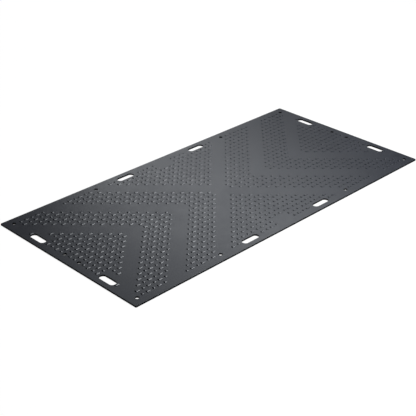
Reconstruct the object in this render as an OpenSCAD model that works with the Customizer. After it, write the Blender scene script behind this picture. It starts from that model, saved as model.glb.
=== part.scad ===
// Ground protection mat: one moulded plastic sheet, laid flat on soft ground as a temporary track.
// It is one piece. The raised tread on its top, the hand slots and the pin holes are all moulded in it.
// X runs along the mat, Y across it, and Z up. The origin is the centre of the underside.

/* [Mat] */
// Length of the mat
mat_len = 2440; // [1800:10:3000]
// Width of the mat
mat_w = 1220; // [900:10:1500]
// Thickness of the plate under the tread
plate_t = 11; // [8:0.5:20]
// Radius of the mat's four corners, seen from above
corner_r = 6; // [2:1:20]
// Bevel round the top rim of the plate
rim_bevel = 1; // [0.4:0.1:3]

/* [Hand slots] */
// Length of a hand slot, over its round ends
slot_len = 126; // [100:1:160]
// Width of a hand slot
slot_w = 44; // [35:1:60]
// Distance from the mat's edge to the middle line of the slots and the pin holes
edge_line = 57; // [50:1:70]
// Distance of the slots in the long sides from the mat's middle
long_side_slot = 310; // [260:1:360]
// Distance of the slots in the short sides from the mat's middle
short_side_slot = 312; // [260:1:340]

/* [Pin holes] */
// Diameter of a pin hole
hole_d = 24; // [16:1:32]
// Distance of the middle holes in the long sides from the mat's middle
long_side_hole = 551; // [480:1:620]
// Distance of the middle holes in the short sides from the mat's middle
short_side_hole = 64; // [45:1:120]

/* [Tread lugs] */
// Height of a lug over the plate
lug_h = 4; // [2:0.5:6]
// Length of a long lug at its foot, along the mat
long_lug = 27; // [20:1:34]
// Length of a short lug at its foot, along the mat
short_lug = 15; // [12:1:19]
// Width of every lug at its foot, across the mat
lug_w = 17; // [12:1:24]
// How far a lug's two sides lean in from foot to top
side_lean = 4; // [1:0.5:5]
// How far a lug's two ends lean in from foot to top
end_lean = 3; // [1:0.5:5]
// Distance from one column of lugs to the next, along the mat
pitch_x = 40; // [38:0.5:50]
// Distance from one row of lugs to the next, across the mat
pitch_y = 40.4; // [38:0.2:50]
// Plain border between the mat's edge and the tips of the lugs
border = 44; // [35:1:60]

/* [Tread layout] */
// Lugs across a chevron, counted along a row
band_lugs = 6; // [4:1:8]
// Lugs left out for a drain channel, counted along a row
channel_lugs = 3; // [1:2:5]
// Chevrons between the middle and each end
chevrons = 2; // [1:1:3]
// Plain margin beside a hand slot, up to the middle of the nearest lug
slot_side_clear = 23; // [18:1:30]
// Plain margin past a hand slot's end, up to the middle of the nearest lug
slot_end_clear = 8; // [4:1:30]
// Plain margin round a pin hole, up to the middle of the nearest lug
hole_clear = 18; // [18:1:24]
// Length of the plain pad at the middle of each long side
pad_len = 120; // [90:10:200]
// Depth of that pad, from the mat's edge
pad_depth = 130; // [100:5:200]

/* [Hidden] */
$fn = 64;

// Half sizes of the mat, and the places of the slots and holes from its middle
half_len = mat_len / 2;
half_w = mat_w / 2;
end_line_x = half_len - edge_line;
side_line_y = half_w - edge_line;
slot_r = slot_w / 2;
hole_r = hole_d / 2;

// How far a cutting tool runs past the face that it cuts, and the tool's height
over = 1;
cut_h = plate_t + lug_h + 2 * over;

// How far a lug's root reaches into the plate, so that the two are always one solid
lug_root = 1;

// Columns and rows of the tread. A column stands on the mat's middle and a row does not.
last_col = floor((half_len - border - long_lug / 2) / pitch_x);
last_row = floor((half_w - border - lug_w / 2) / pitch_y - 0.5);
cols = [-last_col : last_col];
rows = [0 : last_row];

// Signs for the four quarters of the mat
signs = [-1, 1];

function lug_x(col) = col * pitch_x;
function lug_y(row) = (row + 0.5) * pitch_y;

// A chevron steps one column outward with each row, so the steps from it are col - row
function steps_out(col, row) = abs(col) - row - (channel_lugs + 1) / 2;
function band_period() = band_lugs + channel_lugs;
function in_middle(steps) = steps < -channel_lugs;
function in_chevron(steps) = steps >= 0 && steps % band_period() < band_lugs;
function in_end(steps) = steps >= chevrons * band_period();
function in_band(steps) = in_middle(steps) || in_chevron(steps) || in_end(steps);

// Plain places round what is cut through the mat, where the tread leaves lugs out
function near_slot(along, side) =
    abs(along) <= slot_len / 2 + slot_end_clear && abs(side) <= slot_r + slot_side_clear;
function near_hole(dx, dy) = norm([dx, dy]) < hole_r + hole_clear;
function plain_spot(x, y) =
    near_slot(x - long_side_slot, y - side_line_y)
    || near_slot(y - short_side_slot, x - end_line_x)
    || near_hole(x - end_line_x, y - side_line_y)
    || near_hole(x - long_side_hole, y - side_line_y)
    || near_hole(x - end_line_x, y - short_side_hole)
    || (x < pad_len / 2 && y > half_w - pad_depth);

function has_lug(col, row) =
    in_band(steps_out(col, row)) && !plain_spot(abs(lug_x(col)), lug_y(row));

// Long and short lugs take turns, along a row and across the rows
function lug_length(col, row) = (abs(col) + row) % 2 == 0 ? long_lug : short_lug;

// A bar's cross-section with both rims bevelled, from its half width
function bevelled_section(half) = [
    [-half + rim_bevel, 0],
    [half - rim_bevel, 0],
    [half, rim_bevel],
    [half, plate_t - rim_bevel],
    [half - rim_bevel, plate_t],
    [-half + rim_bevel, plate_t],
    [-half, plate_t - rim_bevel],
    [-half, rim_bevel]
];

// Bar along X or Y with that section
module bar_along_x(length, half) {
    rotate([90, 0, 90])
        linear_extrude(height = length, center = true)
            polygon(bevelled_section(half));
}
module bar_along_y(length, half) {
    rotate([90, 0, 0])
        linear_extrude(height = length, center = true)
            polygon(bevelled_section(half));
}

// Round corner of the plate, turned from half of the same section
module plate_corner() {
    rotate_extrude()
        polygon([
            [0, 0],
            [corner_r - rim_bevel, 0],
            [corner_r, rim_bevel],
            [corner_r, plate_t - rim_bevel],
            [corner_r - rim_bevel, plate_t],
            [0, plate_t]
        ]);
}

module plate() {
    reach_x = half_len - corner_r;
    reach_y = half_w - corner_r;
    bar_along_x(2 * reach_x, half_w);
    bar_along_y(2 * reach_y, half_len);
    for (sx = signs, sy = signs)
        translate([sx * reach_x, sy * reach_y, 0])
            plate_corner();
}

// Hand slot along X, cut right through the plate and the tread on it
module slot_cut() {
    run = slot_len - slot_w;
    translate([-run / 2, -slot_r, -over])
        cube([run, slot_w, cut_h]);
    for (s = signs)
        translate([s * run / 2, 0, -over])
            cylinder(r = slot_r, h = cut_h);
}

module hole_cut() {
    translate([0, 0, -over])
        cylinder(r = hole_r, h = cut_h);
}

// Two hand slots in each side, and three or four pin holes
module cuts() {
    for (sx = signs, sy = signs) {
        translate([sx * long_side_slot, sy * side_line_y, 0])
            slot_cut();
        translate([sx * end_line_x, sy * short_side_slot, 0])
            rotate([0, 0, 90])
                slot_cut();
        translate([sx * end_line_x, sy * side_line_y, 0])
            hole_cut();
        translate([sx * long_side_hole, sy * side_line_y, 0])
            hole_cut();
        translate([sx * end_line_x, sy * short_side_hole, 0])
            hole_cut();
    }
}

// Tapered outline of a lug seen from its side or its end
function lug_outline(foot, lean) = [
    [-foot / 2, -lug_root],
    [foot / 2, -lug_root],
    [foot / 2, 0],
    [foot / 2 - lean, lug_h],
    [-foot / 2 + lean, lug_h],
    [-foot / 2, 0]
];

// Comb with a tooth for each lug of a row, seen from the mat's long side
module lug_comb(row) {
    for (col = cols)
        if (has_lug(col, row))
            translate([lug_x(col), 0])
                polygon(lug_outline(lug_length(col, row), end_lean));
}

// One row of lugs, the shape that a long tapered ridge and the row's comb have in common
module lug_row(row) {
    intersection() {
        rotate([90, 0, 90])
            linear_extrude(height = mat_len, center = true)
                polygon(lug_outline(lug_w, side_lean));
        rotate([90, 0, 0])
            linear_extrude(height = pitch_y, center = true)
                lug_comb(row);
    }
}

module tread() {
    for (row = rows, side = signs)
        translate([0, side * lug_y(row), plate_t])
            lug_row(row);
}

module mat() {
    color("#26282b")
        difference() {
            union() {
                plate();
                tread();
            }
            cuts();
        }
}

mat();
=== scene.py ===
"""Looks of the ground protection mat: its moulded plastic sheet, the tread on it, and the studio.

The mat is one moulding, so it is one piece here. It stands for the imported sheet, at the same
sizes, with softened rims, filleted lugs and a satin black plastic finish. Lengths are in metres.
"""

import math

import bmesh
import bpy
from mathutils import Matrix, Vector


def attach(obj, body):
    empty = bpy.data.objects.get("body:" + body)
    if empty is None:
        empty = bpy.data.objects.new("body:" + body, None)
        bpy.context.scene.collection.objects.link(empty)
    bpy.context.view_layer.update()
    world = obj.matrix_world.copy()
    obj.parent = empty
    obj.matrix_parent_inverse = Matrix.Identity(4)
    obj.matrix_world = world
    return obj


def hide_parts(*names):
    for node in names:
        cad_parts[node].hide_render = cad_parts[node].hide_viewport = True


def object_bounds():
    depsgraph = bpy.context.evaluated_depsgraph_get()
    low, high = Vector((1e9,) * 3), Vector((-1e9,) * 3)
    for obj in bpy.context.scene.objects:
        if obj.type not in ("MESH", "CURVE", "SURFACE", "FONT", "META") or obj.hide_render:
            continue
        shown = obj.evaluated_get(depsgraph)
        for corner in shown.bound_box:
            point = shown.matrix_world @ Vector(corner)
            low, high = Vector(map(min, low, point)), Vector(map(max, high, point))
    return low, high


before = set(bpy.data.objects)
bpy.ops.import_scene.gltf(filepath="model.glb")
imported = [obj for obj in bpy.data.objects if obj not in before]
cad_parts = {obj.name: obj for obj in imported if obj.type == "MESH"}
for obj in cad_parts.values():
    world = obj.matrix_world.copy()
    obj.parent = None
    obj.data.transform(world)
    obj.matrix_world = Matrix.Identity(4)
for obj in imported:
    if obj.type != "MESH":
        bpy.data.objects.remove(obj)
cad_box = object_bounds()
cad_low, cad_high = (Vector(corner) for corner in cad_box)

MM = 0.001

# The mat, as long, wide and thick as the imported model
mat_length = cad_high.x - cad_low.x
mat_width = cad_high.y - cad_low.y
lug_height = 4 * MM
plate_top = cad_high.z - lug_height
corner_radius = 6 * MM
corner_segments = 5
rim_radius = 1.2 * MM
rim_segments = 2
rim_angle = math.radians(60)

# Hand slots and pin holes, placed from the mat's edges and its middle
edge_line = 57 * MM
slot_length = 126 * MM
slot_width = 44 * MM
long_side_slot = 310 * MM
short_side_slot = 312 * MM
hole_diameter = 24 * MM
long_side_hole = 551 * MM
short_side_hole = 64 * MM
end_line_x = mat_length / 2 - edge_line
side_line_y = mat_width / 2 - edge_line

# Tread lugs and the grid that they stand on
long_lug_length = 27 * MM
short_lug_length = 15 * MM
lug_width = 17 * MM
side_lean = 4 * MM
end_lean = 3 * MM
lug_corner = 1.6 * MM
lug_top_soft = 0.7 * MM
lug_segments = 2
foot_rise = 0.3 * MM
foot_sink = 0.5 * MM
foot_flare = 0.3 * MM
pitch_x = 40 * MM
pitch_y = 40.4 * MM
border = 44 * MM
last_column = math.floor((mat_length / 2 - border - long_lug_length / 2) / pitch_x)
last_row = math.floor((mat_width / 2 - border - lug_width / 2) / pitch_y - 0.5)

# Layout of the tread: chevrons of lugs with plain channels between them
band_lugs = 6
channel_lugs = 3
chevrons = 2
slot_side_clear = 23 * MM
slot_end_clear = 8 * MM
hole_clear = 18 * MM
pad_length = 120 * MM
pad_depth = 130 * MM

# How far a cutter runs past the plate, and how many sides it has
cutter_over = 10 * MM
cutter_sides = 32

# A point this near to the mat's middle line counts as on it
on_the_line = 0.001 * MM

# A direction counts as straight up or down when it is at least this near to it, from 0 to 1
nearly_straight = 0.9

# A face of the plate is part of its wall while its normal points up or down by less than this
wall_slope = 0.5

# The black plastic. Cloudy patches and rubbed spots have their own colour, and add to how rough it is.
tread_black = (0.0150, 0.0170, 0.0230, 1)
tread_cloudy_black = (0.0200, 0.0220, 0.0290, 1)
rubbed_grey = (0.060, 0.064, 0.072, 1)
tread_gloss = 0.36
tread_roughness = 0.335
tread_patch_adds = 0.05
rubbed_adds = 0.12
# The edge's colours are darker than the tread's: painted shade on the mat's walls and in its slots and
# holes. The rubbed grey is wear, darkened by the same painted shade.
edge_black_painted_shade = (0.0040, 0.0045, 0.0060, 1)
edge_cloudy_black_painted_shade = (0.0070, 0.0076, 0.0095, 1)
edge_rubbed_grey_painted_shade = (0.016, 0.017, 0.020, 1)
edge_gloss = 0.04
edge_roughness = 0.52
edge_patch_adds = 0.10

# How strongly rub marks show on the plate, and how much more near the tops of the lugs
plate_rub = 0.25
lug_rub_adds = 0.5
lug_rub_starts = plate_top + 0.8 * lug_height
lug_rub_full = plate_top + 0.95 * lug_height

# The trimming marks run along the mat's wall, because the pattern is this much finer upright
edge_layers = (1.0, 1.0, 25.0)

# Settings of the surface effects: patches, grains and marks to the metre, heights in millimetres
noise_roughness = 0.55
tread_patches = {"Broad": 2.5, "Small": 22.0}
tread_skin = {"Grains": 900.0, "Grain Height": 0.008, "Waves": 7.0, "Wave Height": 0.2}
tread_rubs = {"Marks": 160.0, "Groups": 4.0, "Start": 0.6}
edge_patches = {"Broad": 5.0, "Small": 30.0}
edge_skin = {"Grains": 60.0, "Grain Height": 0.03, "Waves": 9.0, "Wave Height": 0.02}
edge_rubs = {"Marks": 60.0, "Groups": 5.0, "Start": 0.62}

# The studio: the floor's size, paint and glow, the room's light, and two soft boxes in watts
white = (1, 1, 1, 1)
floor_size = 400
floor_paint = 0.06
floor_glow = 0.97
# The floor's glow under the shaded pin holes, lowered there as painted shade
painted_hole_shade_glow = 0.2
room_light = 0.06
lamp_tint = (0.94, 0.97, 1.0)
key_place = Vector((1.7, -1.95, 2.9))
key_aim = Vector((-0.5, 0, 0))
key_size = (2.4, 1.0)
key_power = 205
panel_place = Vector((3.52, 3.98, 2.93))
panel_size = (1.2, 5.0)
panel_tilt = math.radians(45)
panel_power = 80

# Camera, worked out from the mat's four corners in the photograph
frame_width_px = 416
focal_px = 1010.5
principal_x_px = 226.95
camera_from_middle = Vector((-3.9446, -3.9782, 2.9243))
view_azimuth = math.radians(45.158)
view_drop = math.radians(28.62)
sensor_width_mm = 36.0


def select_only(obj):
    bpy.ops.object.select_all(action="DESELECT")
    obj.select_set(True)
    bpy.context.view_layer.objects.active = obj


def edit(obj):
    """Opens a piece's mesh for edit-mode work, with nothing selected in it."""
    select_only(obj)
    bpy.ops.object.mode_set(mode="EDIT")
    bpy.ops.mesh.select_all(action="DESELECT")
    return bmesh.from_edit_mesh(obj.data)


def done_editing():
    bpy.ops.object.mode_set(mode="OBJECT")


def show_selection(obj):
    bmesh.update_edit_mesh(obj.data)


def select_edges(obj, mesh, wanted):
    bpy.ops.mesh.select_mode(type="EDGE")
    for edge in mesh.edges:
        edge.select_set(wanted(edge))
    show_selection(obj)


def select_faces(obj, mesh, wanted):
    bpy.ops.mesh.select_mode(type="FACE")
    for face in mesh.faces:
        face.select_set(wanted(face))
    show_selection(obj)


def rise(edge):
    low, high = sorted(v.co.z for v in edge.verts)
    return high - low


def is_upright(edge):
    return rise(edge) > nearly_straight * edge.calc_length()


def slab(name, length, width, low, high):
    """A plain block on the middle of the mat, as a start for shaping."""
    bpy.ops.object.select_all(action="DESELECT")
    bpy.ops.mesh.primitive_cube_add(
        size=1, location=(0, 0, (low + high) / 2), scale=(length, width, high - low)
    )
    block = bpy.context.object
    block.name = name
    bpy.ops.object.transform_apply(location=True, rotation=True, scale=True)
    return block


def soften_rims(piece):
    """Rounds every sharp rim. The facets of the round walls meet at less than the rim angle."""
    select_only(piece)
    bevel = piece.modifiers.new("softened rims", "BEVEL")
    bevel.width = rim_radius
    bevel.segments = rim_segments
    bevel.limit_method = "ANGLE"
    bevel.angle_limit = rim_angle
    bpy.ops.object.modifier_apply(modifier=bevel.name)


def smooth_by_area(piece):
    """Rounds the shading of the small rims alone: at each corner the largest face has its way."""
    select_only(piece)
    bpy.ops.object.shade_smooth()
    even = piece.modifiers.new("flat faces stay flat", "WEIGHTED_NORMAL")
    even.mode = "FACE_AREA"
    even.weight = 100
    even.keep_sharp = True
    bpy.ops.object.modifier_apply(modifier=even.name)


def round_cutter(name, diameter, run):
    """A round bar through the mat, pulled apart along its middle by run to cut a slot."""
    bpy.ops.object.select_all(action="DESELECT")
    bpy.ops.mesh.primitive_cylinder_add(
        vertices=cutter_sides,
        radius=diameter / 2,
        depth=plate_top + 2 * cutter_over,
        location=(0, 0, plate_top / 2),
    )
    cutter = bpy.context.object
    cutter.name = name
    bpy.ops.object.transform_apply(location=True, rotation=True, scale=True)
    if run:
        for side in (-1, 1):
            mesh = edit(cutter)
            bpy.ops.mesh.select_mode(type="VERT")
            for vert in mesh.verts:
                vert.select_set(vert.co.x * side > on_the_line)
            mesh.select_flush_mode()
            show_selection(cutter)
            bpy.ops.transform.translate(value=(side * run / 2, 0, 0))
            done_editing()
    return cutter


def place_copy(source, name, x, y, turn=0):
    copy = source.copy()
    copy.data = source.data.copy()
    copy.name = name
    copy.location = (x, y, 0)
    copy.rotation_euler = (0, 0, turn)
    bpy.context.collection.objects.link(copy)
    return copy


def cut_all(piece, cutters):
    bpy.ops.object.select_all(action="DESELECT")
    for cutter in cutters:
        cutter.select_set(True)
    bpy.context.view_layer.objects.active = cutters[0]
    bpy.ops.object.join()
    tool = bpy.context.object
    select_only(piece)
    cut = piece.modifiers.new("slots and holes", "BOOLEAN")
    cut.operation = "DIFFERENCE"
    cut.solver = "EXACT"
    cut.object = tool
    bpy.ops.object.modifier_apply(modifier=cut.name)
    bpy.data.objects.remove(tool, do_unlink=True)


def model_plate():
    plate = slab("moulded_mat", mat_length, mat_width, 0, plate_top)
    mesh = edit(plate)
    select_edges(plate, mesh, is_upright)
    bpy.ops.mesh.bevel(offset=corner_radius, segments=corner_segments, affect="EDGES")
    done_editing()

    slot = round_cutter("slot_cutter", slot_width, slot_length - slot_width)
    hole = round_cutter("hole_cutter", hole_diameter, 0)
    quarter = (
        (slot, long_side_slot, side_line_y, 0),
        (slot, end_line_x, short_side_slot, math.pi / 2),
        (hole, end_line_x, side_line_y, 0),
        (hole, long_side_hole, side_line_y, 0),
        (hole, end_line_x, short_side_hole, 0),
    )
    cutters = [
        place_copy(pattern, "cut", sx * x, sy * y, turn)
        for sx in (-1, 1)
        for sy in (-1, 1)
        for pattern, x, y, turn in quarter
    ]
    for pattern in (slot, hole):
        bpy.data.objects.remove(pattern, do_unlink=True)
    cut_all(plate, cutters)
    soften_rims(plate)
    return plate


def model_lug(lug_length):
    """A short bar with round corners, leaning sides, a soft top rim and a foot that flares."""
    lug = slab("lug", lug_length, lug_width, foot_rise, lug_height)
    mesh = edit(lug)
    select_faces(lug, mesh, lambda face: face.normal.z > nearly_straight)
    top_share = (1 - 2 * end_lean / lug_length, 1 - 2 * side_lean / lug_width, 1)
    bpy.ops.transform.resize(value=top_share, center_override=(0, 0, lug_height))
    mesh = bmesh.from_edit_mesh(lug.data)
    select_edges(lug, mesh, lambda edge: rise(edge) > lug_height / 2)
    bpy.ops.mesh.bevel(offset=lug_corner, segments=lug_segments, affect="EDGES")
    mesh = bmesh.from_edit_mesh(lug.data)
    select_edges(lug, mesh, lambda edge: min(v.co.z for v in edge.verts) > lug_height / 2)
    bpy.ops.mesh.bevel(offset=lug_top_soft, segments=lug_segments, affect="EDGES")
    mesh = bmesh.from_edit_mesh(lug.data)
    select_faces(lug, mesh, lambda face: face.normal.z < -nearly_straight)
    bpy.ops.mesh.extrude_region_move(
        TRANSFORM_OT_translate={"value": (0, 0, -foot_rise - foot_sink)}
    )
    foot_share = (1 + 2 * foot_flare / lug_length, 1 + 2 * foot_flare / lug_width, 1)
    bpy.ops.transform.resize(value=foot_share, center_override=(0, 0, -foot_sink))
    done_editing()
    return lug


def steps_out(column, row):
    return abs(column) - row - (channel_lugs + 1) // 2


def in_band(steps):
    period = band_lugs + channel_lugs
    in_middle = steps < -channel_lugs
    in_chevron = steps >= 0 and steps % period < band_lugs
    in_end = steps >= chevrons * period
    return in_middle or in_chevron or in_end


def near_slot(along, side):
    past_end = abs(along) > slot_length / 2 + slot_end_clear
    past_side = abs(side) > slot_width / 2 + slot_side_clear
    return not past_end and not past_side


def near_hole(dx, dy):
    return math.hypot(dx, dy) < hole_diameter / 2 + hole_clear


def plain_spot(x, y):
    return (
        near_slot(x - long_side_slot, y - side_line_y)
        or near_slot(y - short_side_slot, x - end_line_x)
        or near_hole(x - end_line_x, y - side_line_y)
        or near_hole(x - long_side_hole, y - side_line_y)
        or near_hole(x - end_line_x, y - short_side_hole)
        or (x < pad_length / 2 and y > mat_width / 2 - pad_depth)
    )


def lug_places():
    """Every lug's x, y and whether it is a long one."""
    for column in range(-last_column, last_column + 1):
        for row in range(last_row + 1):
            x = column * pitch_x
            y = (row + 0.5) * pitch_y
            if not in_band(steps_out(column, row)) or plain_spot(abs(x), y):
                continue
            is_long = (abs(column) + row) % 2 == 0
            yield x, y, is_long
            yield x, -y, is_long


def add_tread(plate):
    long_lug = model_lug(long_lug_length)
    short_lug = model_lug(short_lug_length)
    lugs = []
    for x, y, is_long in lug_places():
        copy = place_copy(long_lug if is_long else short_lug, "lug_copy", x, y)
        copy.location.z = plate_top
        lugs.append(copy)
    for pattern in (long_lug, short_lug):
        bpy.data.objects.remove(pattern, do_unlink=True)
    bpy.ops.object.select_all(action="DESELECT")
    for copy in lugs:
        copy.select_set(True)
    plate.select_set(True)
    bpy.context.view_layer.objects.active = plate
    bpy.ops.object.join()


def node(tree, kind, **inputs):
    made = tree.nodes.new(kind)
    for name, value in inputs.items():
        made.inputs[name.replace("_", " ")].default_value = value
    return made


def feed(tree, socket, value):
    """Links another node's output to the socket, or sets the socket to a number."""
    if isinstance(value, bpy.types.NodeSocket):
        tree.links.new(value, socket)
    else:
        socket.default_value = value


def work_out(tree, operation, first, second=0):
    step = tree.nodes.new("ShaderNodeMath")
    step.operation = operation
    feed(tree, step.inputs[0], first)
    feed(tree, step.inputs[1], second)
    return step.outputs[0]


def times_plus(tree, value, factor, start):
    """The value times the factor, on top of the start."""
    return work_out(tree, "ADD", work_out(tree, "MULTIPLY", value, factor), start)


def noise(tree, place, per_metre, detail):
    pattern = node(tree, "ShaderNodeTexNoise", Detail=detail, Roughness=noise_roughness)
    feed(tree, pattern.inputs["Vector"], place)
    feed(tree, pattern.inputs["Scale"], per_metre)
    return pattern.outputs[0]


def stretch(tree, place, scale):
    mapping = node(tree, "ShaderNodeMapping", Scale=scale)
    feed(tree, mapping.inputs["Vector"], place)
    return mapping.outputs[0]


def ramp(tree, value, low, high):
    """0 up to low, 1 from high on, and a straight rise between them."""
    span = node(tree, "ShaderNodeMapRange")
    feed(tree, span.inputs["Value"], value)
    feed(tree, span.inputs["From Min"], low)
    feed(tree, span.inputs["From Max"], high)
    return span.outputs[0]


def mix_colours(tree, share, first, second):
    blend = tree.nodes.new("ShaderNodeMix")
    blend.data_type = "RGBA"
    feed(tree, blend.inputs[0], share)
    feed(tree, blend.inputs[6], first)
    feed(tree, blend.inputs[7], second)
    return blend.outputs[2]


def effect(name, settings, result):
    """A new node group that reads a place and named settings, and gives one result."""
    tree = bpy.data.node_groups.new(name, "ShaderNodeTree")
    tree.interface.new_socket(name="Place", in_out="INPUT", socket_type="NodeSocketVector")
    for label, value in settings.items():
        socket = tree.interface.new_socket(name=label, in_out="INPUT", socket_type="NodeSocketFloat")
        socket.default_value = value
    tree.interface.new_socket(name=result, in_out="OUTPUT", socket_type="NodeSocketFloat")
    return tree, tree.nodes.new("NodeGroupInput").outputs, tree.nodes.new("NodeGroupOutput").inputs


def make_flow_patches():
    """Cloudy patches in the plastic, from the way it flowed and cooled in the mould."""
    broad_share = 0.6
    clear_below, cloudy_above = 0.38, 0.62
    tree, given, result = effect("flow_patches", tread_patches, "Mask")
    broad = noise(tree, given["Place"], given["Broad"], detail=3.0)
    small = noise(tree, given["Place"], given["Small"], detail=4.0)
    broad = work_out(tree, "MULTIPLY", broad, broad_share)
    small = work_out(tree, "MULTIPLY", small, 1 - broad_share)
    both = work_out(tree, "ADD", broad, small)
    tree.links.new(ramp(tree, both, clear_below, cloudy_above), result["Mask"])
    return tree


def make_moulded_skin():
    """The skin of the moulding: a fine grain, on a sheet that is never quite flat."""
    tree, given, result = effect("moulded_skin", tread_skin, "Height")
    grain = noise(tree, given["Place"], given["Grains"], detail=2.0)
    grain = work_out(tree, "MULTIPLY", grain, given["Grain Height"])
    wave = noise(tree, given["Place"], given["Waves"], detail=1.0)
    wave = work_out(tree, "MULTIPLY", wave, given["Wave Height"])
    tree.links.new(work_out(tree, "ADD", grain, wave), result["Height"])
    return tree


def make_rub_marks():
    """Faint rub marks along and across the mat, in groups where wheels and boots have passed."""
    drawn_out = 0.1
    fade = 0.12
    group_starts, group_full = 0.4, 0.65
    tree, given, result = effect("rub_marks", tread_rubs, "Mask")
    full = work_out(tree, "ADD", given["Start"], fade)
    marks = []
    for scale in ((drawn_out, 1, 1), (1, drawn_out, 1)):
        lines = noise(tree, stretch(tree, given["Place"], scale), given["Marks"], detail=3.0)
        marks.append(ramp(tree, lines, given["Start"], full))
    groups = noise(tree, given["Place"], given["Groups"], detail=2.0)
    grouped = ramp(tree, groups, group_starts, group_full)
    both = work_out(tree, "MAXIMUM", marks[0], marks[1])
    tree.links.new(work_out(tree, "MULTIPLY", both, grouped), result["Mask"])
    return tree


def place_effect(tree, group, place, settings):
    used = tree.nodes.new("ShaderNodeGroup")
    used.node_tree = group
    tree.links.new(place, used.inputs["Place"])
    for label, value in settings.items():
        used.inputs[label].default_value = value
    return used.outputs[0]


def bump(tree, height):
    """A bump whose heights are given in millimetres."""
    relief = node(tree, "ShaderNodeBump", Strength=1.0, Distance=1 * MM)
    tree.links.new(height, relief.inputs["Height"])
    return relief.outputs[0]


def new_plastic(name, gloss):
    """A plastic with its gloss set, its node tree, its shader's inputs and the place on the mat."""
    material = bpy.data.materials.new(name)
    material.use_nodes = True
    tree = material.node_tree
    shader = tree.nodes["Principled BSDF"]
    shader.inputs["Specular IOR Level"].default_value = gloss
    place = tree.nodes.new("ShaderNodeTexCoord").outputs["Object"]
    return material, tree, shader.inputs, place


def tread_plastic(patches, skin, rubs):
    """Black polyethylene as it leaves the mould, satin, and a little rubbed on top of the lugs."""
    material, tree, shader, place = new_plastic("satin_black_polyethylene", tread_gloss)
    patch = place_effect(tree, patches, place, tread_patches)
    rub = place_effect(tree, rubs, place, tread_rubs)

    height = tree.nodes.new("ShaderNodeSeparateXYZ")
    tree.links.new(place, height.inputs[0])
    on_lug = ramp(tree, height.outputs["Z"], lug_rub_starts, lug_rub_full)
    rubbed = work_out(tree, "MULTIPLY", rub, times_plus(tree, on_lug, lug_rub_adds, plate_rub))

    black = mix_colours(tree, patch, tread_black, tread_cloudy_black)
    tree.links.new(mix_colours(tree, rubbed, black, rubbed_grey), shader["Base Color"])

    satin = times_plus(tree, patch, tread_patch_adds, tread_roughness)
    tree.links.new(times_plus(tree, rubbed, rubbed_adds, satin), shader["Roughness"])
    relief = place_effect(tree, skin, place, tread_skin)
    tree.links.new(bump(tree, relief), shader["Normal"])
    return material


def edge_plastic_painted_shade(patches, skin, rubs):
    """The same plastic on the mat's edge and in its slots and holes, trimmed along the wall, in darker
    colours that paint the shade on the walls.
    """
    material, tree, shader, place = new_plastic("black_edge_painted_shade", edge_gloss)
    layered = stretch(tree, place, edge_layers)
    patch = place_effect(tree, patches, layered, edge_patches)
    rub = place_effect(tree, rubs, layered, edge_rubs)

    # Blacks darker than the tread's: painted shade on the walls
    black = mix_colours(tree, patch, edge_black_painted_shade, edge_cloudy_black_painted_shade)
    tree.links.new(mix_colours(tree, rub, black, edge_rubbed_grey_painted_shade), shader["Base Color"])
    dull = times_plus(tree, patch, edge_patch_adds, edge_roughness)
    tree.links.new(dull, shader["Roughness"])
    relief = place_effect(tree, skin, layered, edge_skin)
    tree.links.new(bump(tree, relief), shader["Normal"])
    return material


def finish_plastic(plate):
    """Gives the upright walls of the plate the trimmed edge with its painted shade, and all the rest
    the satin black.
    """
    patches, skin, rubs = make_flow_patches(), make_moulded_skin(), make_rub_marks()
    plate.data.materials.clear()
    plate.data.materials.append(tread_plastic(patches, skin, rubs))
    plate.data.materials.append(edge_plastic_painted_shade(patches, skin, rubs))
    for face in plate.data.polygons:
        under_lug_feet = face.center.z < plate_top - foot_sink
        is_wall = abs(face.normal.z) < wall_slope and under_lug_feet
        face.material_index = 1 if is_wall else 0


def dress_mat():
    plate = model_plate()
    add_tread(plate)
    finish_plastic(plate)
    smooth_by_area(plate)
    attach(plate, "root")
    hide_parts("mat")


def white_floor():
    """A floor that fills the view, white to the camera and in gloss, and still takes a shadow."""
    bpy.ops.object.select_all(action="DESELECT")
    bpy.ops.mesh.primitive_plane_add(size=floor_size, location=(0, 0, 0))
    floor = bpy.context.object
    floor.name = "floor"
    material = bpy.data.materials.new("white_floor")
    material.use_nodes = True
    tree = material.node_tree
    tree.nodes.clear()
    out = tree.nodes.new("ShaderNodeOutputMaterial")
    paint = node(tree, "ShaderNodeBsdfDiffuse", Color=(floor_paint, floor_paint, floor_paint, 1))
    glow = node(tree, "ShaderNodeEmission", Color=white)
    # Less glow under the shaded pin holes: painted shade on the floor
    strength = times_plus(tree, in_painted_hole_shade(tree), painted_hole_shade_glow - floor_glow, floor_glow)
    tree.links.new(strength, glow.inputs["Strength"])

    total = tree.nodes.new("ShaderNodeAddShader")
    blend = tree.nodes.new("ShaderNodeMixShader")
    light = tree.nodes.new("ShaderNodeLightPath").outputs
    mirrored = work_out(tree, "MAXIMUM", light["Is Glossy Ray"], light["Is Transmission Ray"])
    tree.links.new(work_out(tree, "MAXIMUM", light["Is Camera Ray"], mirrored), blend.inputs[0])
    tree.links.new(paint.outputs[0], total.inputs[0])
    tree.links.new(glow.outputs[0], total.inputs[1])
    tree.links.new(paint.outputs[0], blend.inputs[1])
    tree.links.new(total.outputs[0], blend.inputs[2])
    tree.links.new(blend.outputs[0], out.inputs[0])
    floor.data.materials.append(material)


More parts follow.
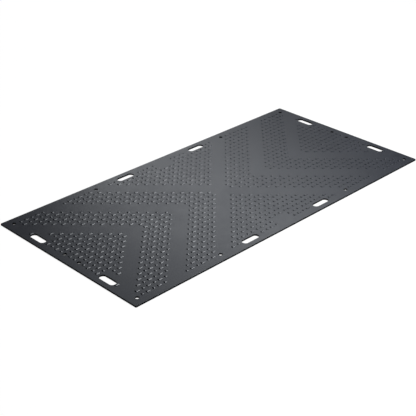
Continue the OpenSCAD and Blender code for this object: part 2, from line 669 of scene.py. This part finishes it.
def in_painted_hole_shade(tree):
    """1 on the floor under the pin holes that look dark in the photograph, else 0. There the floor's
    glow is lowered, as painted shade.

    Those are all but the four along the mat's -Y side. Each dark spot is twice as wide as its
    hole, which is seen at a slant, and the plate hides the rest of the spot.
    """
    place = tree.nodes.new("ShaderNodeSeparateXYZ")
    tree.links.new(tree.nodes.new("ShaderNodeTexCoord").outputs["Object"], place.inputs[0])
    mirrored = tree.nodes.new("ShaderNodeCombineXYZ")
    tree.links.new(work_out(tree, "ABSOLUTE", place.outputs["X"]), mirrored.inputs["X"])
    tree.links.new(place.outputs["Y"], mirrored.inputs["Y"])
    inside = 0
    for x, y in (
        (end_line_x, side_line_y),
        (long_side_hole, side_line_y),
        (end_line_x, short_side_hole),
        (end_line_x, -short_side_hole),
    ):
        away = tree.nodes.new("ShaderNodeVectorMath")
        away.operation = "DISTANCE"
        away.inputs[1].default_value = (x, y, 0)
        tree.links.new(mirrored.outputs[0], away.inputs[0])
        near = work_out(tree, "LESS_THAN", away.outputs["Value"], hole_diameter)
        inside = work_out(tree, "MAXIMUM", near, inside)
    return inside


def dim_room():
    world = bpy.data.worlds.new("studio")
    bpy.context.scene.world = world
    world.use_nodes = True
    tree = world.node_tree
    tree.nodes.clear()
    out = tree.nodes.new("ShaderNodeOutputWorld")
    room = node(tree, "ShaderNodeBackground", Color=white, Strength=room_light)
    tree.links.new(room.outputs[0], out.inputs[0])


def soft_box(name, place, size, power):
    """A flat lamp that faces straight down until it is tilted."""
    bpy.ops.object.light_add(type="AREA", location=place)
    box = bpy.context.object
    box.name = name
    box.data.shape = "RECTANGLE"
    box.data.size, box.data.size_y = size
    box.data.energy = power
    box.data.color = lamp_tint
    box.visible_camera = False
    return box


def studio_lamps():
    key = soft_box("right_key", key_place, key_size, key_power)
    key.rotation_euler = (key_aim - key_place).to_track_quat("-Z", "Y").to_euler()
    back_panel = soft_box("back_panel", panel_place, panel_size, panel_power)
    back_panel.rotation_euler = (0, panel_tilt, 0)


def set_camera():
    level = Vector((math.sin(view_azimuth), math.cos(view_azimuth), 0))
    aim = math.cos(view_drop) * level - math.sin(view_drop) * Vector((0, 0, 1))
    bpy.ops.object.camera_add(
        location=camera_from_middle + Vector((0, 0, plate_top)),
        rotation=aim.to_track_quat("-Z", "Y").to_euler(),
    )
    camera = bpy.context.object
    camera.data.sensor_width = sensor_width_mm
    camera.data.lens = sensor_width_mm * focal_px / frame_width_px
    camera.data.shift_x = 0.5 - principal_x_px / frame_width_px
    bpy.context.scene.camera = camera


set_camera()
white_floor()
dim_room()
studio_lamps()
dress_mat()
bpy.context.scene.view_settings.view_transform = "Standard"
